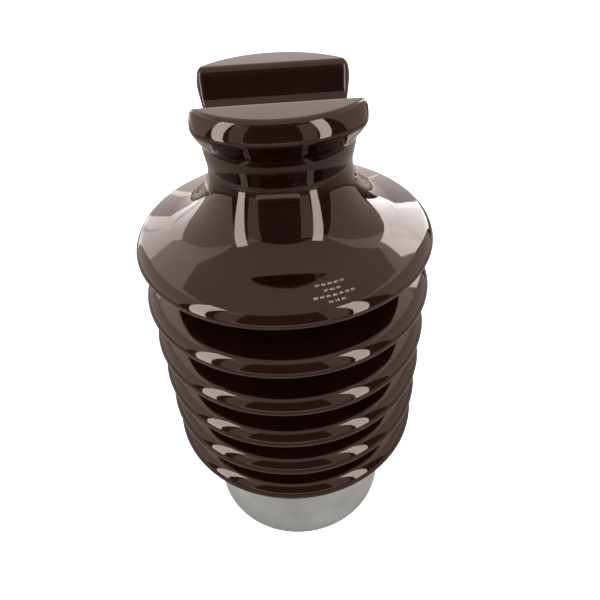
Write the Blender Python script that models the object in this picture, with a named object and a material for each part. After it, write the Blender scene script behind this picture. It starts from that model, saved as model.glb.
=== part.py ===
"""Tie-top line post insulator: one glazed porcelain body cemented into a galvanised iron base cup.

Metres, +Z up. The origin is the middle of the base's underside. The conductor groove runs along X.
Every round piece is turned about Z from a half outline that runs down its outer side, top to bottom.
"""
from math import asin, atan2, cos, hypot, pi, sin, sqrt, tan, radians

import bmesh
import bpy
from mathutils import Matrix, Vector

MM = 0.001
SEGMENTS = 36
GAP = 0.3 * MM

# overall and head
TOTAL_HEIGHT = 305 * MM
HEAD_TOP_RADIUS = 46 * MM
HEAD_EDGE = 2.5 * MM
HEAD_WALL_ARC = 15 * MM
HEAD_WALL_UPPER = radians(38)
HEAD_WALL_LOWER = radians(8)
HEAD_RIM = 2.5 * MM
GROOVE_RADIUS = 25 * MM
GROOVE_DEPTH = 24.5 * MM
GROOVE_EDGE = 4 * MM
HEAD_HALF_LENGTH = 39.2 * MM

# tie-wire neck and bell
NECK_ARC = 9 * MM
NECK_TOP = 281 * MM
NECK_DRAFT = radians(12)
WAIST_RADIUS = 37 * MM
WAIST_HEIGHT = 268 * MM
WAIST_ARC = 12 * MM
WAIST_TURN = radians(5)
BELL_SLOPE = radians(18)

# sheds and core
SHED_RADIUS = 82 * MM
TOP_SHED_RADIUS = 81.2 * MM
SHED_RIM = 3.2 * MM
SHED_NOSE = 9 * MM
SHED_NOSE_TURN = radians(15)
SHED_RIM_HEIGHTS = (224.8 * MM, 193.3 * MM, 164.3 * MM, 136.8 * MM, 109.8 * MM, 82.8 * MM)
SHED_TOP_SLOPE = radians(18)
SHED_UNDER_SLOPE = radians(6)
SHED_TOP_FILLET = 4 * MM
SHED_UNDER_FILLET = 6 * MM
CORE_RADIUS = 44 * MM

# base cup
BASE_RADIUS = 63 * MM
BASE_DRAFT = 1.2 * MM
BASE_HEIGHT = 60 * MM
BASE_TOP_EDGE = 3 * MM
BASE_BOTTOM_EDGE = 1.5 * MM
BASE_FLOOR = 27 * MM
STUD_HOLE_RADIUS = 9.5 * MM
STUD_HOLE_DEPTH = 23 * MM
STUD_HOLE_CHAMFER = 1.5 * MM
CUP_BORE_RADIUS = 52 * MM
KEY_DEPTH = 2 * MM
KEY_WIDTH = 6 * MM
KEY_HEIGHTS = (36 * MM, 48 * MM)

# joint between the two
FOOT_RADIUS = 42 * MM
FOOT_EDGE = 2 * MM
SAND_THICKNESS = 1.2 * MM
COATING_THICKNESS = 0.8 * MM
CUSHION_THICKNESS = 3 * MM
SEAL_THICKNESS = 1.5 * MM
CEMENT_RECESS = 3 * MM


def paint(name, colour, roughness, metallic=0.0):
    """A Principled material with the piece's own colour."""
    material = bpy.data.materials.new(name)
    material.use_nodes = True
    shader = material.node_tree.nodes["Principled BSDF"]
    shader.inputs["Base Color"].default_value = (*colour, 1.0)
    shader.inputs["Roughness"].default_value = roughness
    shader.inputs["Metallic"].default_value = metallic
    return material


def arc(centre_r, centre_z, radius, start, end, steps):
    """Points on an arc in the half plane; angles in radians from +R towards +Z."""
    points = []
    for step in range(steps + 1):
        angle = start + (end - start) * step / steps
        points.append((centre_r + radius * cos(angle), centre_z + radius * sin(angle)))
    return points


def place(mesh, name, material):
    """An object for a finished mesh, shaded smooth between its sharp edges."""
    mesh.shade_smooth()
    mesh.set_sharp_from_angle(angle=radians(35))
    piece = bpy.data.objects.new(name, mesh)
    piece.data.materials.append(material)
    bpy.context.scene.collection.objects.link(piece)
    return piece


def turned(name, outline, material, closed=False):
    """A solid of revolution from a half outline, top to bottom; a closed outline makes a ring."""
    shape = bmesh.new()
    verts = [shape.verts.new((r, 0.0, z)) for r, z in outline]
    for first, second in zip(verts, verts[1:]):
        shape.edges.new((first, second))
    if closed:
        shape.edges.new((verts[-1], verts[0]))
    bmesh.ops.spin(shape, geom=shape.verts[:] + shape.edges[:], cent=(0, 0, 0), axis=(0, 0, 1),
                   angle=2 * pi, steps=SEGMENTS, use_merge=True)
    bmesh.ops.remove_doubles(shape, verts=shape.verts[:], dist=0.01 * MM)
    bmesh.ops.recalc_face_normals(shape, faces=shape.faces[:])
    mesh = bpy.data.meshes.new(name)
    shape.to_mesh(mesh)
    shape.free()
    return place(mesh, name, material)


def inner_centre(centre, radius, new_radius, angle):
    """Centre of the arc that carries on from another at a shared normal angle."""
    step = radius - new_radius
    return centre[0] + step * cos(angle), centre[1] + step * sin(angle)


def waist_centre():
    """Centre of the short arc round the neck's narrowest place."""
    return WAIST_RADIUS + WAIST_ARC, WAIST_HEIGHT


def neck_centre():
    """Centre of the arc from the neck's drafted wall out under the head."""
    foot_r, foot_z = inner_centre(waist_centre(), 0.0, -WAIST_ARC, pi - NECK_DRAFT)
    top_r = foot_r + (NECK_TOP - foot_z) * tan(NECK_DRAFT)
    return inner_centre((top_r, NECK_TOP), 0.0, NECK_ARC, pi - NECK_DRAFT)


def under_head(rim, neck):
    """Angle below horizontal of the normal of the cone between the head's rim and the neck's arc."""
    across = neck[0] - rim[0]
    up = rim[1] - neck[1]
    reach = HEAD_RIM + NECK_ARC
    return asin(reach / hypot(across, up)) - atan2(across, up)


def head_outline():
    """From the axis over the head's top edge and bulging wall, under the rim and down the neck."""
    edge = (HEAD_TOP_RADIUS, TOTAL_HEIGHT - HEAD_EDGE)
    wall = inner_centre(edge, HEAD_EDGE, HEAD_WALL_ARC, HEAD_WALL_UPPER)
    rim = inner_centre(wall, HEAD_WALL_ARC, HEAD_RIM, HEAD_WALL_LOWER)
    neck = neck_centre()
    cone = under_head(rim, neck)
    points = [(0.0, TOTAL_HEIGHT)]
    points += arc(*edge, HEAD_EDGE, pi / 2, HEAD_WALL_UPPER, 2)
    points += arc(*wall, HEAD_WALL_ARC, HEAD_WALL_UPPER, HEAD_WALL_LOWER, 2)[1:]
    points += arc(*rim, HEAD_RIM, HEAD_WALL_LOWER, -cone, 2)[1:]
    points += arc(*neck, NECK_ARC, pi - cone, pi - NECK_DRAFT, 3)
    return points


def nose_centre(rim_r, rim_z):
    """Centre of the larger arc over a shed's rim, given the centre of the smaller one under it."""
    return inner_centre((rim_r, rim_z), SHED_RIM, SHED_NOSE, SHED_NOSE_TURN)


def bell_arc(top, rim_r, rim_z):
    """Radius of the bell's arc from its top to the straight slope into the top shed's rim."""
    meet_r, meet_z = inner_centre(nose_centre(rim_r, rim_z), SHED_NOSE, 0.0, pi / 2 - BELL_SLOPE)
    drop = top[1] - meet_z - (meet_r - top[0]) * tan(BELL_SLOPE)
    across = cos(WAIST_TURN) - sin(BELL_SLOPE)
    return drop / (cos(BELL_SLOPE) - sin(WAIST_TURN) - across * tan(BELL_SLOPE))


def bell_outline():
    """From the neck's waist through the flaring bell to the top shed's rim."""
    rim_r = TOP_SHED_RADIUS - SHED_RIM
    rim_z = SHED_RIM_HEIGHTS[0]
    waist = waist_centre()
    turn = pi + WAIST_TURN
    radius = bell_arc(inner_centre(waist, 0.0, -WAIST_ARC, turn), rim_r, rim_z)
    bell = inner_centre(waist, WAIST_ARC, radius, turn)
    points = arc(*waist, WAIST_ARC, pi - NECK_DRAFT, turn, 2)
    points += arc(*bell, radius, turn, 1.5 * pi - BELL_SLOPE, 5)[1:]
    return points + rim_outline(rim_r, rim_z, pi / 2 - BELL_SLOPE)


def rim_outline(rim_r, rim_z, start):
    """A shed's rim, from its upper surface over its nose and widest point to its underside."""
    points = arc(*nose_centre(rim_r, rim_z), SHED_NOSE, start, SHED_NOSE_TURN, 2)
    points.append((rim_r + SHED_RIM, rim_z))
    return points + arc(rim_r, rim_z, SHED_RIM, 0.0, -pi / 2 - SHED_UNDER_SLOPE, 2)[1:]


def under_fillet(rim_r, rim_z):
    """The arc that turns a shed's underside into the core."""
    centre_r = CORE_RADIUS + SHED_UNDER_FILLET
    inward = rim_r - centre_r
    drop = (SHED_RIM + SHED_UNDER_FILLET) / cos(SHED_UNDER_SLOPE)
    centre_z = rim_z + inward * tan(SHED_UNDER_SLOPE) - drop
    return arc(centre_r, centre_z, SHED_UNDER_FILLET, pi / 2 - SHED_UNDER_SLOPE, pi, 2)


def top_fillet(rim_r, rim_z):
    """The arc that turns the core into a shed's upper surface."""
    nose_r, nose_z = nose_centre(rim_r, rim_z)
    centre_r = CORE_RADIUS + SHED_TOP_FILLET
    rise = (SHED_NOSE + SHED_TOP_FILLET) / cos(SHED_TOP_SLOPE)
    centre_z = nose_z + (nose_r - centre_r) * tan(SHED_TOP_SLOPE) + rise
    return arc(centre_r, centre_z, SHED_TOP_FILLET, pi, 1.5 * pi - SHED_TOP_SLOPE, 2)


def sheds_outline():
    """The undersides, core and lower sheds, down to the cemented foot."""
    points = under_fillet(TOP_SHED_RADIUS - SHED_RIM, SHED_RIM_HEIGHTS[0])
    rim_r = SHED_RADIUS - SHED_RIM
    for rim_z in SHED_RIM_HEIGHTS[1:]:
        points += top_fillet(rim_r, rim_z)
        points += rim_outline(rim_r, rim_z, pi / 2 - SHED_TOP_SLOPE)
        points += under_fillet(rim_r, rim_z)
    return points


def foot_outline():
    """The foot that stands in the cup."""
    bottom = BASE_FLOOR + GAP + CUSHION_THICKNESS + GAP
    shoulder = BASE_HEIGHT + 2 * MM
    return [(CORE_RADIUS, shoulder + CORE_RADIUS - FOOT_RADIUS),
            (FOOT_RADIUS, shoulder),
            (FOOT_RADIUS, bottom + FOOT_EDGE),
            (FOOT_RADIUS - FOOT_EDGE, bottom),
            (0.0, bottom)]


def cutter(name, shape):
    """A hidden tool object that a Boolean takes away from its target."""
    mesh = bpy.data.meshes.new(name)
    shape.to_mesh(mesh)
    shape.free()
    tool = bpy.data.objects.new(name, mesh)
    bpy.context.scene.collection.objects.link(tool)
    tool.hide_render = True
    tool.display_type = "WIRE"
    return tool


def groove_cutter():
    """The round-bottomed bar that leaves the conductor groove, with flared upper edges."""
    centre_z = TOTAL_HEIGHT - GROOVE_DEPTH + GROOVE_RADIUS
    fillet_z = TOTAL_HEIGHT - GROOVE_EDGE
    fillet_y = sqrt((GROOVE_RADIUS + GROOVE_EDGE) ** 2 - (centre_z - fillet_z) ** 2)
    lean = atan2(centre_z - fillet_z, fillet_y)
    reach = HEAD_TOP_RADIUS + HEAD_WALL_ARC
    half = arc(fillet_y, fillet_z, GROOVE_EDGE, pi / 2, pi - lean, 3)
    half += arc(0.0, centre_z, GROOVE_RADIUS, -lean, -pi / 2, 8)[1:]
    outline = [(fillet_y, TOTAL_HEIGHT + GROOVE_EDGE)] + half
    outline += [(-y, z) for y, z in reversed(outline[:-1])]
    shape = bmesh.new()
    end = [shape.verts.new((-reach, y, z)) for y, z in outline]
    face = shape.faces.new(end)
    swept = bmesh.ops.extrude_face_region(shape, geom=[face])
    moved = [item for item in swept["geom"] if isinstance(item, bmesh.types.BMVert)]
    bmesh.ops.translate(shape, verts=moved, vec=(2 * reach, 0, 0))
    bmesh.ops.recalc_face_normals(shape, faces=shape.faces[:])
    return cutter("groove_cutter", shape)


def ends_cutter():
    """Two blocks that leave the flat ends of the head."""
    shape = bmesh.new()
    for side in (-1, 1):
        middle = Vector((side * (HEAD_HALF_LENGTH + HEAD_TOP_RADIUS / 2), 0, TOTAL_HEIGHT))
        block = Matrix.Translation(middle) @ Matrix.Diagonal((1, 3, 1, 1))
        bmesh.ops.create_cube(shape, size=HEAD_TOP_RADIUS, matrix=block)
    return cutter("ends_cutter", shape)


def porcelain_body():
    """Head, neck, bell, six sheds, core and foot in one fired piece, grooved across the head."""
    outline = head_outline() + bell_outline() + sheds_outline() + foot_outline()
    glaze = paint("brown_glaze", (0.045, 0.02, 0.016), 0.08)
    body = turned("porcelain_body", outline, glaze)
    for tool in (groove_cutter(), ends_cutter()):
        cut = body.modifiers.new(tool.name, "BOOLEAN")
        cut.operation = "DIFFERENCE"
        cut.solver = "EXACT"
        cut.object = tool
    return body


def bore_outline(offset, top, bottom):
    """The cup's keyed bore, moved inwards by an offset, from top to bottom."""
    points = [(CUP_BORE_RADIUS - offset, top)]
    for key_z in sorted(KEY_HEIGHTS, reverse=True):
        half = KEY_WIDTH / 2
        points.append((CUP_BORE_RADIUS - offset, key_z + half))
        points.append((CUP_BORE_RADIUS - offset + KEY_DEPTH, key_z + half - KEY_DEPTH))
        points.append((CUP_BORE_RADIUS - offset + KEY_DEPTH, key_z - half + KEY_DEPTH))
        points.append((CUP_BORE_RADIUS - offset, key_z - half))
    points.append((CUP_BORE_RADIUS - offset, bottom))
    return points


def base_cup():
    """Cast cup with a thick floor, keying grooves in its bore and a blind hole for the stud."""
    top_r = BASE_RADIUS - BASE_DRAFT
    outline = [(0.0, STUD_HOLE_DEPTH), (STUD_HOLE_RADIUS, STUD_HOLE_DEPTH),
               (STUD_HOLE_RADIUS, STUD_HOLE_CHAMFER), (STUD_HOLE_RADIUS + STUD_HOLE_CHAMFER, 0.0),
               (BASE_RADIUS - BASE_BOTTOM_EDGE, 0.0), (BASE_RADIUS, BASE_BOTTOM_EDGE)]
    outline += arc(top_r - BASE_TOP_EDGE, BASE_HEIGHT - BASE_TOP_EDGE, BASE_TOP_EDGE, 0.0, pi / 2, 3)
    outline += bore_outline(0.0, BASE_HEIGHT, BASE_FLOOR)
    outline += [(0.0, BASE_FLOOR)]
    return turned("base_cup", outline, paint("galvanised_iron", (0.31, 0.32, 0.31), 0.5, 0.85))


def joint_levels():
    """Heights shared by the coats and the cement: their top and their bottom."""
    top = BASE_HEIGHT - CEMENT_RECESS
    bottom = BASE_FLOOR + GAP
    return top, bottom


def sand_band():
    """Fired-on grit round the foot."""
    top, bottom = joint_levels()
    inner = FOOT_RADIUS + GAP
    low = bottom + CUSHION_THICKNESS + GAP + FOOT_EDGE
    outline = [(inner, top), (inner + SAND_THICKNESS, top), (inner + SAND_THICKNESS, low), (inner, low)]
    return turned("sand_band", outline, paint("porcelain_grit", (0.62, 0.58, 0.5), 0.9), closed=True)


def foot_coating():
    """Bituminous coat over the sand."""
    top, bottom = joint_levels()
    inner = FOOT_RADIUS + GAP + SAND_THICKNESS + GAP
    outer = inner + COATING_THICKNESS
    outline = [(inner, top), (outer, top), (outer, bottom), (inner, bottom)]
    return turned("foot_coating", outline, paint("foot_bitumen", (0.015, 0.014, 0.013), 0.6), closed=True)


def end_cushion():
    """Cork disc between the end of the foot and the cup's floor."""
    bottom = BASE_FLOOR + GAP
    radius = FOOT_RADIUS
    outline = [(0.0, bottom + CUSHION_THICKNESS), (radius, bottom + CUSHION_THICKNESS), (radius, bottom),
               (0.0, bottom)]
    return turned("end_cushion", outline, paint("cork", (0.45, 0.27, 0.13), 0.95))


def cup_coating():
    """Bituminous coat on the keyed bore."""
    top, bottom = joint_levels()
    outer = bore_outline(GAP, top, bottom)
    inner = bore_outline(GAP + COATING_THICKNESS, top, bottom)
    outline = outer + inner[::-1]
    return turned("cup_coating", outline, paint("cup_bitumen", (0.015, 0.014, 0.013), 0.6), closed=True)


def cement_joint():
    """Portland cement that fills the space between the two coats."""
    top, bottom = joint_levels()
    inner = FOOT_RADIUS + 3 * GAP + SAND_THICKNESS + COATING_THICKNESS
    outer = bore_outline(2 * GAP + COATING_THICKNESS, top, bottom)
    outline = outer + [(inner, bottom), (inner, top)]
    return turned("cement_joint", outline, paint("portland_cement", (0.42, 0.41, 0.38), 0.95), closed=True)


def joint_seal():
    """Sealing compound over the open top of the cement, domed a little to shed water."""
    inner = FOOT_RADIUS + GAP
    outer = CUP_BORE_RADIUS - GAP
    bottom = BASE_HEIGHT - CEMENT_RECESS + GAP
    top = bottom + SEAL_THICKNESS
    crown = top + SEAL_THICKNESS / 2
    outline = [(inner, bottom), (inner, crown), ((inner + outer) / 2, crown - SEAL_THICKNESS / 4),
               (outer, top), (outer, bottom)]
    return turned("joint_seal", outline, paint("sealing_compound", (0.05, 0.05, 0.05), 0.7), closed=True)


for leftover in list(bpy.data.objects):
    bpy.data.objects.remove(leftover, do_unlink=True)

porcelain_body()
sand_band()
foot_coating()
end_cushion()
cement_joint()
cup_coating()
base_cup()
joint_seal()
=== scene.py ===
from math import asin, atan2, cos, hypot, pi, radians, sin, sqrt, tan

import bmesh
import bpy
from mathutils import Matrix, Quaternion, Vector, noise
from mathutils.kdtree import KDTree


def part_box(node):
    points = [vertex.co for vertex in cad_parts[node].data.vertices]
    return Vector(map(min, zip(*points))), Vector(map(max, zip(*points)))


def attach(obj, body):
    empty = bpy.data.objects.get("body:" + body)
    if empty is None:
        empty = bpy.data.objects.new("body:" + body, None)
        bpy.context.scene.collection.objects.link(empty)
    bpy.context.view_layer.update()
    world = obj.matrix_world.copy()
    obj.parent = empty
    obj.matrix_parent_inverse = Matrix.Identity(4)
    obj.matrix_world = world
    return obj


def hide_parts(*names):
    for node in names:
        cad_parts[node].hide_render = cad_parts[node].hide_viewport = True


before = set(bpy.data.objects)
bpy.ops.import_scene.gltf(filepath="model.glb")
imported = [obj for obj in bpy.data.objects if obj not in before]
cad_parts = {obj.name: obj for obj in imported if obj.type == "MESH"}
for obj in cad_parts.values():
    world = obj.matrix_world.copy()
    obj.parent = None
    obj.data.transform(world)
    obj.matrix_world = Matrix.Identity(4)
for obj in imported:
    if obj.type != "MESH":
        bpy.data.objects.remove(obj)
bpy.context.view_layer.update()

MM = 0.001

# ---- camera --------------------------------------------------------------------------------------
# A short lens held about 0.27 m from the head and above it, looking down across the conductor groove,
# rolled a little so that the insulator leans.
camera_point = Vector((-6.9, -253.1, 385.7)) * MM
camera_aim = Vector((6.7, -0.2, 172.0)) * MM
camera_roll = -0.048
lens = bpy.data.cameras.new("camera")
lens.sensor_width = 36.0
lens.lens = 31.93
lens.clip_start = 0.02
camera = bpy.data.objects.new("camera", lens)
bpy.context.scene.collection.objects.link(camera)
camera.location = camera_point
camera.rotation_mode = "QUATERNION"
level = (camera_aim - camera_point).to_track_quat("-Z", "Y")
camera.rotation_quaternion = level @ Quaternion((0, 0, 1), camera_roll)
bpy.context.scene.camera = camera
bpy.context.scene.view_settings.view_transform = "Standard"

# ---- base cup ------------------------------------------------------------------------------------
# Grey iron casting, machined flat underneath, hot-dip galvanised to a dull even grey. Two keying grooves
# in its bore hold the cement; a blind 3/4 inch coarse-thread hole in the floor takes the stud.
base_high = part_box("base_cup")[1]
base_height = base_high.z
base_radius = base_high.x
base_draft = 1.2 * MM
base_top_edge = 3 * MM
base_bottom_edge = 1.5 * MM
base_floor = 27 * MM
stud_radius = 9.5 * MM
stud_depth = 23 * MM
thread_pitch = 2.54 * MM
thread_height = 1.3 * MM
bore_radius = 52 * MM
key_depth = 2 * MM
key_width = 6 * MM
key_heights = (48 * MM, 36 * MM)
round_steps = 192


def arc(centre_r, centre_z, radius, start, end, steps):
    """Points along an arc of a half outline, angles from +R towards +Z."""
    turns = (start + (end - start) * step / steps for step in range(steps + 1))
    return [(centre_r + radius * cos(turn), centre_z + radius * sin(turn)) for turn in turns]


def spin_outline(shape, outline, steps, closed=False):
    """Turns a half outline about Z inside a bmesh and closes its seam and poles."""
    verts = [shape.verts.new((r, 0.0, z)) for r, z in outline]
    edges = [shape.edges.new(pair) for pair in zip(verts, verts[1:])]
    if closed:
        edges.append(shape.edges.new((verts[-1], verts[0])))
    bmesh.ops.spin(shape, geom=verts + edges, cent=(0, 0, 0), axis=(0, 0, 1), angle=2 * pi,
                   steps=steps, use_merge=True)
    bmesh.ops.remove_doubles(shape, verts=shape.verts[:], dist=0.002 * MM)


def finished(shape, name, material, slot, *nodes, crease=radians(40)):
    """An object from a bmesh, riding on the body and standing for its CAD node."""
    mesh = bpy.data.meshes.new(name)
    shape.to_mesh(mesh)
    shape.free()
    mesh.shade_smooth()
    mesh.set_sharp_from_angle(angle=crease)
    mesh.materials.append(material)
    piece = bpy.data.objects.new(name, mesh)
    bpy.context.scene.collection.objects.link(piece)
    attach(piece, "root")
    if nodes:
        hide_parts(*nodes)
    return piece


def bare_material(name):
    """A material's node tree, its shader and its object coordinates."""
    material = bpy.data.materials.new(name)
    material.use_nodes = True
    tree = material.node_tree
    shader = tree.nodes["Principled BSDF"]
    place = tree.nodes.new("ShaderNodeTexCoord")
    return material, tree, shader, place.outputs["Object"]


def mottle_group():
    """Broad cloudy mottling, fine grain and sparse specks, for every dull surface of the object."""
    group = bpy.data.node_groups.new("mottle_and_grain", "ShaderNodeTree")
    face = group.interface
    face.new_socket(name="Vector", in_out="INPUT", socket_type="NodeSocketVector")
    face.new_socket(name="Cloud Scale", in_out="INPUT", socket_type="NodeSocketFloat")
    face.new_socket(name="Grain Scale", in_out="INPUT", socket_type="NodeSocketFloat")
    face.new_socket(name="Cloud", in_out="OUTPUT", socket_type="NodeSocketFloat")
    face.new_socket(name="Grain", in_out="OUTPUT", socket_type="NodeSocketFloat")
    face.new_socket(name="Speck", in_out="OUTPUT", socket_type="NodeSocketFloat")
    nodes = group.nodes
    inputs = nodes.new("NodeGroupInput")
    outputs = nodes.new("NodeGroupOutput")
    cloud = nodes.new("ShaderNodeTexNoise")
    cloud.inputs["Detail"].default_value = 3.0
    grain = nodes.new("ShaderNodeTexNoise")
    grain.inputs["Detail"].default_value = 2.0
    cell = nodes.new("ShaderNodeTexVoronoi")
    spot = nodes.new("ShaderNodeMapRange")
    spot.inputs["From Min"].default_value = 0.22
    spot.inputs["From Max"].default_value = 0.1
    for texture, scale in ((cloud, "Cloud Scale"), (grain, "Grain Scale"), (cell, "Grain Scale")):
        group.links.new(inputs.outputs["Vector"], texture.inputs["Vector"])
        group.links.new(inputs.outputs[scale], texture.inputs["Scale"])
    group.links.new(cell.outputs["Distance"], spot.inputs["Value"])
    group.links.new(cloud.outputs["Fac"], outputs.inputs["Cloud"])
    group.links.new(grain.outputs["Fac"], outputs.inputs["Grain"])
    group.links.new(spot.outputs["Result"], outputs.inputs["Speck"])
    return group


mottle = mottle_group()


def add_mottle(tree, vector, cloud_scale, grain_scale):
    """Places the shared mottling in a material with its own scales."""
    node = tree.nodes.new("ShaderNodeGroup")
    node.node_tree = mottle
    node.inputs["Cloud Scale"].default_value = cloud_scale
    node.inputs["Grain Scale"].default_value = grain_scale
    tree.links.new(vector, node.inputs["Vector"])
    return node


def ramp(tree, value, stops):
    """A colour ramp from (position, colour) stops."""
    node = tree.nodes.new("ShaderNodeValToRGB")
    band = node.color_ramp
    band.elements[0].position, band.elements[0].color = stops[0][0], (*stops[0][1], 1.0)
    band.elements[1].position, band.elements[1].color = stops[-1][0], (*stops[-1][1], 1.0)
    for position, colour in stops[1:-1]:
        band.elements.new(position).color = (*colour, 1.0)
    tree.links.new(value, node.inputs["Fac"])
    return node.outputs["Color"]


def spread(tree, value, low, high, into_low, into_high):
    """Maps a value from one range to another."""
    node = tree.nodes.new("ShaderNodeMapRange")
    node.inputs["From Min"].default_value = low
    node.inputs["From Max"].default_value = high
    node.inputs["To Min"].default_value = into_low
    node.inputs["To Max"].default_value = into_high
    tree.links.new(value, node.inputs["Value"])
    return node.outputs["Result"]


def raise_surface(tree, shader, height, distance, strength=1.0):
    """Bump from a height, in metres for its whole range."""
    node = tree.nodes.new("ShaderNodeBump")
    node.inputs["Strength"].default_value = strength
    node.inputs["Distance"].default_value = distance
    tree.links.new(height, node.inputs["Height"])
    tree.links.new(node.outputs["Normal"], shader.inputs["Normal"])


def galvanised_iron():
    """Dull zinc: clouded grey, a little brighter where it is rubbed, finely rough from the casting."""
    material, tree, shader, place = bare_material("galvanised_iron")
    grain = add_mottle(tree, place, 45.0, 900.0)
    shader.inputs["Metallic"].default_value = 0.75
    colour = ramp(tree, grain.outputs["Cloud"], ((0.3, (0.45, 0.48, 0.47)), (0.5, (0.51, 0.54, 0.53)),
                                                 (0.7, (0.57, 0.60, 0.59))))
    tree.links.new(colour, shader.inputs["Base Color"])
    tree.links.new(spread(tree, grain.outputs["Cloud"], 0.3, 0.7, 0.5, 0.62), shader.inputs["Roughness"])
    raise_surface(tree, shader, grain.outputs["Grain"], 0.12 * MM, 0.6)
    return material


shape = bmesh.new()
top_radius = base_radius - base_draft
outline = [(0.0, stud_depth), (stud_radius, stud_depth), (stud_radius, 1.5 * MM),
           (stud_radius + 1.5 * MM, 0.0), (base_radius - base_bottom_edge, 0.0)]
outline += arc(base_radius - base_bottom_edge, base_bottom_edge, base_bottom_edge, -pi / 2, 0.0, 5)[1:]
outline += arc(top_radius - base_top_edge, base_height - base_top_edge, base_top_edge, 0.0, pi / 2, 8)
outline += [(bore_radius + 1 * MM, base_height), (bore_radius, base_height - 1 * MM)]
for key_z in key_heights:
    outline += [(bore_radius, key_z + key_width / 2),
                (bore_radius + key_depth, key_z + key_width / 2 - key_depth),
                (bore_radius + key_depth, key_z - key_width / 2 + key_depth),
                (bore_radius, key_z - key_width / 2)]
outline += [(bore_radius, base_floor), (0.0, base_floor)]
spin_outline(shape, outline, round_steps)
bmesh.ops.recalc_face_normals(shape, faces=shape.faces[:])
ridge = [shape.verts.new((stud_radius + 0.2 * MM - depth, 0.0, 2.2 * MM + height))
         for depth, height in ((0.0, -1.1 * MM), (0.0, 1.1 * MM), (thread_height, 0.15 * MM),
                               (thread_height, -0.15 * MM))]
ridge_face = shape.faces.new(ridge)
thread_turns = 8
thread_steps = 40 * thread_turns
bmesh.ops.spin(shape, geom=[ridge_face], cent=(0, 0, 0), axis=(0, 0, 1),
               dvec=(0, 0, thread_pitch * thread_turns / thread_steps), angle=2 * pi * thread_turns,
               steps=thread_steps)
finished(shape, "base_cup_casting", galvanised_iron(), "galvanised_iron", "base_cup")

# ---- coats, cushion and cement -------------------------------------------------------------------
# Inside the cup: fired-on grit round the foot, a bituminous coat on grit and bore, a cork disc under the
# foot, and Portland cement poured between. All are hidden; their solids stay and get their own finishes.


def dull_material(name, stops, roughness, cloud_scale, grain_scale, relief):
    """A matt, grained finish between a few colours."""
    material, tree, shader, place = bare_material(name)
    grain = add_mottle(tree, place, cloud_scale, grain_scale)
    mix = tree.nodes.new("ShaderNodeMath")
    mix.operation = "ADD"
    tree.links.new(grain.outputs["Cloud"], mix.inputs[0])
    tree.links.new(spread(tree, grain.outputs["Grain"], 0.3, 0.7, -0.15, 0.15), mix.inputs[1])
    tree.links.new(ramp(tree, mix.outputs["Value"], stops), shader.inputs["Base Color"])
    low, high = roughness
    tree.links.new(spread(tree, grain.outputs["Grain"], 0.3, 0.7, low, high), shader.inputs["Roughness"])
    raise_surface(tree, shader, grain.outputs["Grain"], relief)
    return material


inner_finishes = {
    "sand_band": dull_material("fired_grit", ((0.3, (0.50, 0.46, 0.39)), (0.7, (0.72, 0.69, 0.62))),
                               (0.85, 1.0), 300.0, 1400.0, 0.6 * MM),
    "end_cushion": dull_material("cork", ((0.3, (0.22, 0.12, 0.06)), (0.7, (0.48, 0.30, 0.16))),
                                 (0.85, 1.0), 260.0, 900.0, 0.3 * MM),
    "cement_joint": dull_material("portland_cement", ((0.3, (0.34, 0.33, 0.30)), (0.7, (0.46, 0.45, 0.42))),
                                  (0.85, 1.0), 120.0, 1200.0, 0.25 * MM),
}
bitumen = dull_material("bitumen", ((0.3, (0.010, 0.009, 0.008)), (0.7, (0.022, 0.020, 0.018))),
                        (0.5, 0.7), 80.0, 500.0, 0.15 * MM)
inner_finishes["foot_coating"] = bitumen
inner_finishes["cup_coating"] = bitumen
for node, finish in inner_finishes.items():
    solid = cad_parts[node].data
    solid.materials.clear()
    solid.materials.append(finish)

# ---- porcelain body ------------------------------------------------------------------------------
# One piece of wet-process porcelain, turned from a pug: grooved head, tie-wire neck, bell, six sheds,
# core and foot. It is dipped in brown glaze and fired glossy, so every edge is round and softly swollen.
body_low, body_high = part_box("porcelain_body")
head_top = body_high.z
shed_radius = body_high.x
top_shed_radius = shed_radius - 0.8 * MM
head_flat = 46 * MM
head_edge = 2.5 * MM
wall_arc = 15 * MM
wall_upper = radians(38)
wall_lower = radians(8)
head_rim = 2.5 * MM
groove_radius = 25 * MM
groove_depth = 24.5 * MM
groove_edge = 4 * MM
lug_half_length = 39.2 * MM
lug_edge = 4 * MM
neck_arc = 9 * MM
neck_top = 281 * MM
neck_draft = radians(12)
waist_radius = 37 * MM
waist_z = 268 * MM
waist_arc = 12 * MM
waist_turn = radians(5)
bell_slope = radians(18)
rim = 3.2 * MM
nose = 9 * MM
nose_turn = radians(15)
rim_heights = (224.8 * MM, 193.3 * MM, 164.3 * MM, 136.8 * MM, 109.8 * MM, 82.8 * MM)
top_slope = radians(18)
under_slope = radians(6)
top_fillet = 4 * MM
under_fillet = 6 * MM
core_radius = 44 * MM
foot_radius = 42 * MM
foot_edge = 2 * MM
foot_bottom = body_low.z
body_steps = 256

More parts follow.
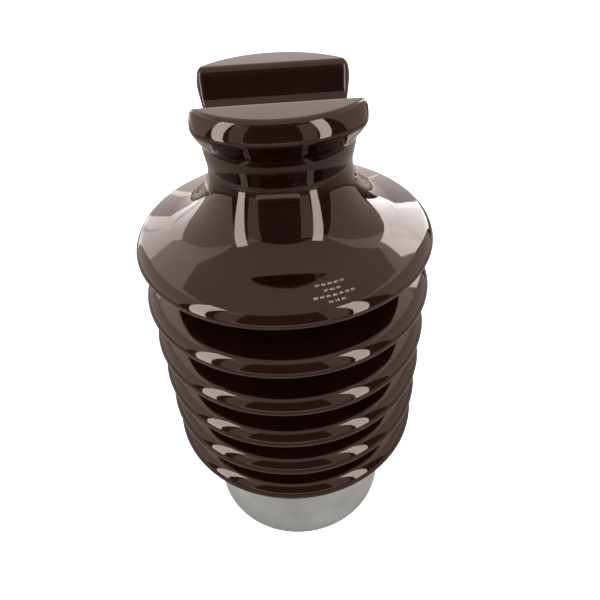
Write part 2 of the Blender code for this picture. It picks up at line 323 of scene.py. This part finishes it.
# centres of the head's arcs, each carrying on from the last at a shared normal
edge_centre = Vector((head_flat, head_top - head_edge))
wall_centre = edge_centre + (head_edge - wall_arc) * Vector((cos(wall_upper), sin(wall_upper)))
rim_centre = wall_centre + (wall_arc - head_rim) * Vector((cos(wall_lower), sin(wall_lower)))
waist_centre = Vector((waist_radius + waist_arc, waist_z))
draft = Vector((-cos(neck_draft), sin(neck_draft)))
neck_foot = waist_centre + waist_arc * draft
neck_head = Vector((neck_foot.x + (neck_top - neck_foot.y) * tan(neck_draft), neck_top))
neck_centre = neck_head - neck_arc * draft
across = neck_centre - rim_centre
cone = asin((head_rim + neck_arc) / across.length) - atan2(across.x, -across.y)
groove_z = head_top - groove_depth + groove_radius
nose_step = (rim - nose) * Vector((cos(nose_turn), sin(nose_turn)))
top_nose = Vector((top_shed_radius - rim, rim_heights[0])) + nose_step
rim_meet = top_nose + nose * Vector((sin(bell_slope), cos(bell_slope)))
waist_out = Vector((cos(waist_turn), sin(waist_turn)))
bell_top = waist_centre - waist_arc * waist_out
bell_arc = ((bell_top.y - rim_meet.y - (rim_meet.x - bell_top.x) * tan(bell_slope))
            / (cos(bell_slope) - waist_out.y - (waist_out.x - sin(bell_slope)) * tan(bell_slope)))
bell_centre = bell_top + bell_arc * waist_out
seam_z = 258 * MM
seam_turn = asin((bell_centre.y - seam_z) / bell_arc)


def shed_outline(rim_r, rim_z, start):
    """A rim with a fuller nose above, the underside and the turn into the core."""
    fillet_r = core_radius + under_fillet
    fillet_z = rim_z + (rim_r - fillet_r) * tan(under_slope) - (rim + under_fillet) / cos(under_slope)
    edge = arc(rim_r + nose_step.x, rim_z + nose_step.y, nose, start, nose_turn, 10)
    edge += arc(rim_r, rim_z, rim, nose_turn, -pi / 2 - under_slope, 9)[1:]
    return edge + arc(fillet_r, fillet_z, under_fillet, pi / 2 - under_slope, pi, 6)


def lower_shed(rim_z):
    """The turn out of the core, then the shed."""
    rim_r = shed_radius - rim
    fillet_r = core_radius + top_fillet
    fillet_z = (rim_z + nose_step.y + (rim_r + nose_step.x - fillet_r) * tan(top_slope)
                + (nose + top_fillet) / cos(top_slope))
    turn = arc(fillet_r, fillet_z, top_fillet, pi, 1.5 * pi - top_slope, 6)
    return turn + shed_outline(rim_r, rim_z, pi / 2 - top_slope)


# below the seam: bell, sheds, core and foot, turned in one go
outline = arc(*bell_centre, bell_arc, pi + seam_turn + 0.02, 1.5 * pi - bell_slope, 26)
outline += shed_outline(top_shed_radius - rim, rim_heights[0], pi / 2 - bell_slope)
for rim_z in rim_heights[1:]:
    outline += lower_shed(rim_z)
foot_shoulder = base_height + foot_edge
outline += [(core_radius, foot_shoulder + core_radius - foot_radius), (foot_radius, foot_shoulder),
            (foot_radius, foot_bottom + foot_edge), (foot_radius - foot_edge, foot_bottom),
            (0.0, foot_bottom)]
body = bmesh.new()
spin_outline(body, outline, body_steps)


def head_samples():
    """Points and outward normals along the head's half outline, from the axis down to the bell."""
    samples = []

    def along(start, end, normal):
        steps = int((end - start).length / (0.2 * MM)) + 1
        samples.extend((start.lerp(end, step / steps), normal) for step in range(steps + 1))

    def round_arc(centre, radius, start, end, outward):
        steps = int(abs(end - start) * radius / (0.05 * MM)) + 1
        for step in range(steps + 1):
            turn = start + (end - start) * step / steps
            out = Vector((cos(turn), sin(turn)))
            samples.append((centre + out * radius, out * outward))

    down = Vector((cos(cone), -sin(cone)))
    along(Vector((0, head_top)), Vector((head_flat, head_top)), Vector((0, 1)))
    round_arc(edge_centre, head_edge, pi / 2, wall_upper, 1)
    round_arc(wall_centre, wall_arc, wall_upper, wall_lower, 1)
    round_arc(rim_centre, head_rim, wall_lower, -cone, 1)
    along(rim_centre + down * head_rim, neck_centre - down * neck_arc, down)
    round_arc(neck_centre, neck_arc, pi - cone, pi - neck_draft, -1)
    along(neck_head, neck_foot, -draft)
    round_arc(waist_centre, waist_arc, pi - neck_draft, pi + waist_turn, -1)
    round_arc(bell_centre, bell_arc, pi + waist_turn, 1.5 * pi - bell_slope, -1)
    return samples


head_line = head_samples()
head_tree = KDTree(len(head_line))
for index, (point, normal) in enumerate(head_line):
    head_tree.insert((point.x, point.y, 0.0), index)
head_tree.balance()


def rounded_corner(first, second, radius):
    """Distance outside the overlap of two shapes, their shared edge rounded."""
    outside = hypot(max(first + radius, 0.0), max(second + radius, 0.0))
    return min(max(first, second), -radius) + outside


def head_distance(x, y, z):
    """Distance outside the grooved head with its two flat ends, all edges rounded over."""
    r = hypot(x, y)
    point, normal = head_line[head_tree.find((r, z, 0.0))[1]]
    turned = (r - point.x) * normal.x + (z - point.y) * normal.y
    lugs = rounded_corner(turned, abs(x) - lug_half_length, lug_edge)
    return rounded_corner(lugs, groove_radius - hypot(y, z - groove_z), groove_edge)


def settle(verts):
    """Moves points onto the head's surface along its gradient."""
    step = 0.04 * MM
    for vert in verts:
        x, y, z = vert.co
        for attempt in range(4):
            value = head_distance(x, y, z)
            if abs(value) < 0.0005 * MM:
                break
            gx = (head_distance(x + step, y, z) - head_distance(x - step, y, z)) / (2 * step)
            gy = (head_distance(x, y + step, z) - head_distance(x, y - step, z)) / (2 * step)
            gz = (head_distance(x, y, z + step) - head_distance(x, y, z - step)) / (2 * step)
            size = gx * gx + gy * gy + gz * gz
            x -= value * gx / size
            y -= value * gy / size
            z -= value * gz / size
        vert.co = (x, y, z)


# the head blank: turned, grooved by a round bar, then meshed evenly so that its edges can be rounded
blank_bottom = seam_z - 6 * MM
blank = bmesh.new()
blank_outline = [(0.0, head_top)]
blank_outline += arc(*edge_centre, head_edge, pi / 2, wall_upper, 4)
blank_outline += arc(*wall_centre, wall_arc, wall_upper, wall_lower, 5)[1:]
blank_outline += arc(*rim_centre, head_rim, wall_lower, -cone, 4)[1:]
blank_outline += arc(*neck_centre, neck_arc, pi - cone, pi - neck_draft, 6)
blank_outline += arc(*waist_centre, waist_arc, pi - neck_draft, pi + waist_turn, 6)
blank_outline += arc(*bell_centre, bell_arc, pi + waist_turn,
                     pi + asin((bell_centre.y - blank_bottom) / bell_arc), 5)[1:]
blank_outline += [(0.0, blank_bottom)]
spin_outline(blank, blank_outline, 128)
bmesh.ops.recalc_face_normals(blank, faces=blank.faces[:])
blank_mesh = bpy.data.meshes.new("head_blank")
blank.to_mesh(blank_mesh)
blank.free()
bar = bmesh.new()
bmesh.ops.create_cone(bar, cap_ends=True, segments=96, radius1=groove_radius, radius2=groove_radius,
                      depth=3 * head_flat,
                      matrix=Matrix.Translation((0, 0, groove_z)) @ Matrix.Rotation(pi / 2, 4, "Y"))
ends = bmesh.new()
for side in (-1, 1):
    bmesh.ops.create_cube(ends, size=head_flat, matrix=Matrix.Translation(
        (side * (lug_half_length + head_flat / 2), 0, head_top)) @ Matrix.Diagonal((1, 3, 1, 1)))
blank_object = bpy.data.objects.new("head_blank", blank_mesh)
bpy.context.scene.collection.objects.link(blank_object)
cutters = []
for name, shape in (("groove_bar", bar), ("head_ends", ends)):
    cutter_mesh = bpy.data.meshes.new(name)
    shape.to_mesh(cutter_mesh)
    shape.free()
    cutters.append(bpy.data.objects.new(name, cutter_mesh))
    bpy.context.scene.collection.objects.link(cutters[-1])
    cut = blank_object.modifiers.new(name, "BOOLEAN")
    cut.operation = "DIFFERENCE"
    cut.solver = "EXACT"
    cut.object = cutters[-1]
even = blank_object.modifiers.new("even", "REMESH")
even.mode = "VOXEL"
even.voxel_size = 0.9 * MM
graph = bpy.context.evaluated_depsgraph_get()
head_mesh = bpy.data.meshes.new_from_object(blank_object.evaluated_get(graph))
for made in [blank_object] + cutters:
    bpy.data.objects.remove(made, do_unlink=True)
head = bmesh.new()
head.from_mesh(head_mesh)
for passes in (6, 3, 2):
    free = [vert for vert in head.verts if vert.co.z > blank_bottom + 2 * MM]
    for smoothing in range(passes):
        bmesh.ops.smooth_vert(head, verts=free, factor=0.5,
                              use_axis_x=True, use_axis_y=True, use_axis_z=True)
    settle(free)
bmesh.ops.bisect_plane(head, geom=head.verts[:] + head.edges[:] + head.faces[:], plane_co=(0, 0, seam_z),
                       plane_no=(0, 0, 1), clear_inner=True, dist=0.05 * MM)
seam_r = bell_centre.x - sqrt(bell_arc ** 2 - (bell_centre.y - seam_z) ** 2)
for vert in head.verts:
    if any(edge.is_boundary for edge in vert.link_edges):
        spot = vert.co.xy.normalized() * seam_r
        vert.co = (spot.x, spot.y, seam_z)
head.to_mesh(head_mesh)
head.free()
body.from_mesh(head_mesh)
seam_edges = [edge for edge in body.edges if edge.is_boundary]
bmesh.ops.bridge_loops(body, edges=seam_edges)
bmesh.ops.recalc_face_normals(body, faces=body.faces[:])

# swell: fired clay is never quite true, which is what bends the reflections
swell = 0.10 * MM
broad_swell = 22.0
fine_swell = 47.0
elsewhere = Vector((3.0, 1.0, 2.0))
for vert in body.verts:
    if hypot(vert.co.x, vert.co.y) > 1 * MM and vert.co.z > base_height:
        wander = noise.noise(vert.co * broad_swell) + 0.5 * noise.noise(vert.co * fine_swell + elsewhere)
        vert.co += vert.normal * wander * swell
body.normal_update()

# thinning: the melted glaze draws back from every convex edge and pools in the hollows
thin = body.verts.layers.float.new("glaze_thinning")
for vert in body.verts:
    bend = 0.0
    for edge in vert.link_edges:
        other = edge.other_vert(vert)
        gap = vert.co - other.co
        bend += gap.dot(vert.normal - other.normal) / max(gap.length_squared, 1e-12)
    vert[thin] = min(max(bend / len(vert.link_edges) * 4 * MM, 0.0), 1.0)


def brown_glaze():
    """Iron-brown glaze: near black in the depth, redder where it is thin, faintly speckled, wet gloss."""
    material, tree, shader, place = bare_material("brown_glaze")
    grain = add_mottle(tree, place, 55.0, 1500.0)
    worn = tree.nodes.new("ShaderNodeAttribute")
    worn.attribute_name = "glaze_thinning"
    body_tone = ramp(tree, grain.outputs["Cloud"], ((0.3, (0.0050, 0.0016, 0.0010)),
                                                    (0.7, (0.0085, 0.0027, 0.0018))))
    red = tree.nodes.new("ShaderNodeMix")
    red.data_type = "RGBA"
    red.inputs["B"].default_value = (0.022, 0.0075, 0.0048, 1.0)
    tree.links.new(spread(tree, worn.outputs["Fac"], 0.08, 0.75, 0.0, 1.0), red.inputs["Factor"])
    tree.links.new(body_tone, red.inputs["A"])
    fleck = tree.nodes.new("ShaderNodeMix")
    fleck.data_type = "RGBA"
    fleck.inputs["B"].default_value = (0.022, 0.010, 0.0065, 1.0)
    tree.links.new(spread(tree, grain.outputs["Speck"], 0.0, 1.0, 0.0, 0.35), fleck.inputs["Factor"])
    tree.links.new(red.outputs["Result"], fleck.inputs["A"])
    tree.links.new(fleck.outputs["Result"], shader.inputs["Base Color"])
    tree.links.new(spread(tree, grain.outputs["Cloud"], 0.3, 0.7, 0.035, 0.07), shader.inputs["Roughness"])
    shader.inputs["IOR"].default_value = 1.55
    shader.inputs["Specular Tint"].default_value = (1.0, 0.78, 0.71, 1.0)
    ripple = tree.nodes.new("ShaderNodeTexNoise")
    ripple.inputs["Scale"].default_value = 110.0
    ripple.inputs["Detail"].default_value = 1.0
    tree.links.new(place, ripple.inputs["Vector"])
    raise_surface(tree, shader, ripple.outputs["Fac"], 0.06 * MM, 0.5)
    return material


finished(body, "porcelain_glazed_body", brown_glaze(), "brown_glaze", "porcelain_body", crease=radians(60))

# ---- printed mark --------------------------------------------------------------------------------
# A fired transfer on the top shed, lower right as the groove is seen from the side: plain pale bars in
# rows, standing in for a maker's data, each a thin film of ceramic ink.
mark_turn = radians(-75)
mark_rows = ((66.5 * MM, 5), (69.6 * MM, 3), (72.7 * MM, 7), (75.6 * MM, 3))
bar_length = 2.1 * MM
bar_height = 1.1 * MM
bar_spacing = 3.0 * MM
film = 0.06 * MM


def bell_height(r):
    """The bell's surface height at a radius outside its arc."""
    end = bell_centre - bell_arc * Vector((sin(bell_slope), cos(bell_slope)))
    if r < end.x:
        return bell_centre.y - sqrt(bell_arc ** 2 - (bell_centre.x - r) ** 2)
    return end.y - (r - end.x) * tan(bell_slope)


def transfer_ink():
    """Pale fired ink, thin enough to let the brown through in places."""
    material, tree, shader, place = bare_material("transfer_ink")
    grain = add_mottle(tree, place, 700.0, 3000.0)
    tone = ramp(tree, grain.outputs["Cloud"], ((0.35, (0.10, 0.075, 0.065)), (0.65, (0.30, 0.26, 0.24))))
    tree.links.new(tone, shader.inputs["Base Color"])
    tree.links.new(spread(tree, grain.outputs["Grain"], 0.3, 0.7, 0.2, 0.35), shader.inputs["Roughness"])
    return material


marks = bmesh.new()
for row_r, count in mark_rows:
    for index in range(count):
        offset = (index - (count - 1) / 2) * bar_spacing
        patch = bmesh.ops.create_grid(marks, x_segments=3, y_segments=2, size=0.5)
        faces = dict.fromkeys(face for vert in patch["verts"] for face in vert.link_faces)
        top = bmesh.ops.extrude_face_region(marks, geom=list(faces))
        lifted = {item for item in top["geom"] if isinstance(item, bmesh.types.BMVert)}
        for vert in set(patch["verts"]) | lifted:
            r = row_r - vert.co.y * bar_height
            turn = mark_turn + (offset + vert.co.x * bar_length) / row_r
            height = bell_height(r) + (film if vert in lifted else -film)
            vert.co = (r * cos(turn), r * sin(turn), height)
bmesh.ops.recalc_face_normals(marks, faces=marks.faces[:])
finished(marks, "shed_data_mark", transfer_ink(), "brown_glaze")

# ---- joint seal ----------------------------------------------------------------------------------
# A trowelled fillet of grey-black sealing compound over the open top of the cement, from the foot to the
# cup's lip, slightly domed so that rain runs off.
seal_low, seal_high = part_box("joint_seal")
seal_gap = 0.3 * MM
seal_inner = foot_radius + seal_gap
seal_outer = bore_radius - seal_gap
seal_crown = seal_high.z - seal_gap
seal_fall = 0.9 * MM
seal_dome = 0.2 * MM
seal_steps = 8
outline = [(seal_inner, seal_low.z), (seal_inner, seal_high.z)]
for step in range(1, seal_steps + 1):
    out = step / seal_steps
    outline.append((seal_inner + (seal_outer - seal_inner) * out,
                    seal_crown - seal_fall * out ** 2 + seal_dome * sin(pi * out)))
outline += [(seal_outer, seal_low.z)]
seal = bmesh.new()
spin_outline(seal, outline, round_steps, closed=True)
bmesh.ops.recalc_face_normals(seal, faces=seal.faces[:])
compound = dull_material("sealing_compound", ((0.3, (0.020, 0.020, 0.019)), (0.7, (0.045, 0.045, 0.043))),
                         (0.55, 0.8), 90.0, 700.0, 0.3 * MM)
finished(seal, "joint_seal_fillet", compound, "sealing_compound", "joint_seal")

# ---- floor and light -----------------------------------------------------------------------------
# A plain pale floor and soft light: a broad ceiling panel set back, softer panels round the sides and
# behind with a dark gap in front, and tall narrow panels that draw the glaze's bright strips.
floor_mesh = bpy.data.meshes.new("floor")
floor_shape = bmesh.new()
bmesh.ops.create_grid(floor_shape, x_segments=1, y_segments=1, size=6.0)
floor_shape.to_mesh(floor_mesh)
floor_shape.free()
floor = bpy.data.objects.new("floor", floor_mesh)
bpy.context.scene.collection.objects.link(floor)
pale, tree, shader, place = bare_material("pale_floor")
shader.inputs["Base Color"].default_value = (0.90, 0.90, 0.90, 1.0)
shader.inputs["Roughness"].default_value = 0.9
shader.inputs["Specular IOR Level"].default_value = 0.1
shader.inputs["Emission Strength"].default_value = 1.0
# the glaze sees the floor as a mid-grey table, which keeps its rims dark
seen = tree.nodes.new("ShaderNodeLightPath")
table = tree.nodes.new("ShaderNodeBsdfDiffuse")
table.inputs["Color"].default_value = (0.36, 0.33, 0.31, 1.0)
choose = tree.nodes.new("ShaderNodeMixShader")
tree.links.new(seen.outputs["Is Camera Ray"], choose.inputs["Fac"])
tree.links.new(table.outputs["BSDF"], choose.inputs[1])
tree.links.new(shader.outputs["BSDF"], choose.inputs[2])
tree.links.new(choose.outputs["Shader"], tree.nodes["Material Output"].inputs["Surface"])
floor_mesh.materials.append(pale)


def panel(name, turn, distance, height, width, tall, brightness, colour=(1.0, 1.0, 1.0)):
    """A soft rectangular light at an azimuth from the front, facing the insulator."""
    lamp = bpy.data.lights.new(name, "AREA")
    lamp.shape = "RECTANGLE"
    lamp.size = width
    lamp.size_y = tall
    lamp.energy = brightness * width * tall * 4
    lamp.color = colour
    light = bpy.data.objects.new(name, lamp)
    bpy.context.scene.collection.objects.link(light)
    light.location = (distance * sin(turn), -distance * cos(turn), height)
    light.rotation_mode = "QUATERNION"
    light.rotation_quaternion = (Vector((0, 0, 0.2)) - light.location).to_track_quat("-Z", "Y")
    light.visible_camera = False
    return light


warm = (1.0, 0.88, 0.84)
cool = (0.94, 1.0, 1.02)
panel("ceiling_panel", pi, 0.25, 2.0, 3.7, 3.7, 0.64, warm)
panel("back_panel", pi, 1.1, 0.52, 0.9, 0.95, 0.98, warm)
panel("rear_left_glow", radians(-153), 1.0, 0.36, 0.26, 0.6, 1.1, warm)
panel("rear_left_window", radians(-142), 1.0, 0.40, 0.28, 0.72, 1.9)
panel("rear_right_glow", radians(152), 1.0, 0.36, 0.26, 0.6, 1.0, warm)
panel("rear_right_window", radians(138), 1.0, 0.60, 0.32, 0.8, 4.6)
panel("left_wall_panel", radians(-109), 0.9, 0.55, 1.3, 1.1, 0.92, warm)
panel("right_wall_panel", radians(97), 0.9, 0.55, 1.15, 1.1, 0.75, warm)
panel("front_left_wall_panel", radians(-43), 0.75, 0.45, 0.20, 0.8, 0.65, warm)
panel("front_right_wall_panel", radians(29), 0.75, 0.45, 0.20, 0.8, 0.65, warm)
panel("front_low_panel", radians(-8), 0.62, 0.10, 0.75, 0.07, 1.1)
panel("front_left_window", radians(-62), 0.62, 0.40, 0.14, 0.78, 6.2, cool)
panel("front_right_window", radians(44), 0.62, 0.40, 0.13, 0.78, 6.2, cool)

world = bpy.data.worlds.new("studio")
bpy.context.scene.world = world
world.use_nodes = True
nodes = world.node_tree.nodes
seen = nodes.new("ShaderNodeLightPath")
room = nodes.new("ShaderNodeBackground")
room.inputs["Color"].default_value = (0.22, 0.18, 0.17, 1.0)
room.inputs["Strength"].default_value = 0.6
paper = nodes.new("ShaderNodeBackground")
paper.inputs["Color"].default_value = (1.0, 1.0, 1.0, 1.0)
choose = nodes.new("ShaderNodeMixShader")
world.node_tree.links.new(seen.outputs["Is Camera Ray"], choose.inputs["Fac"])
world.node_tree.links.new(room.outputs["Background"], choose.inputs[1])
world.node_tree.links.new(paper.outputs["Background"], choose.inputs[2])
world.node_tree.links.new(choose.outputs["Shader"], nodes["World Output"].inputs["Surface"])
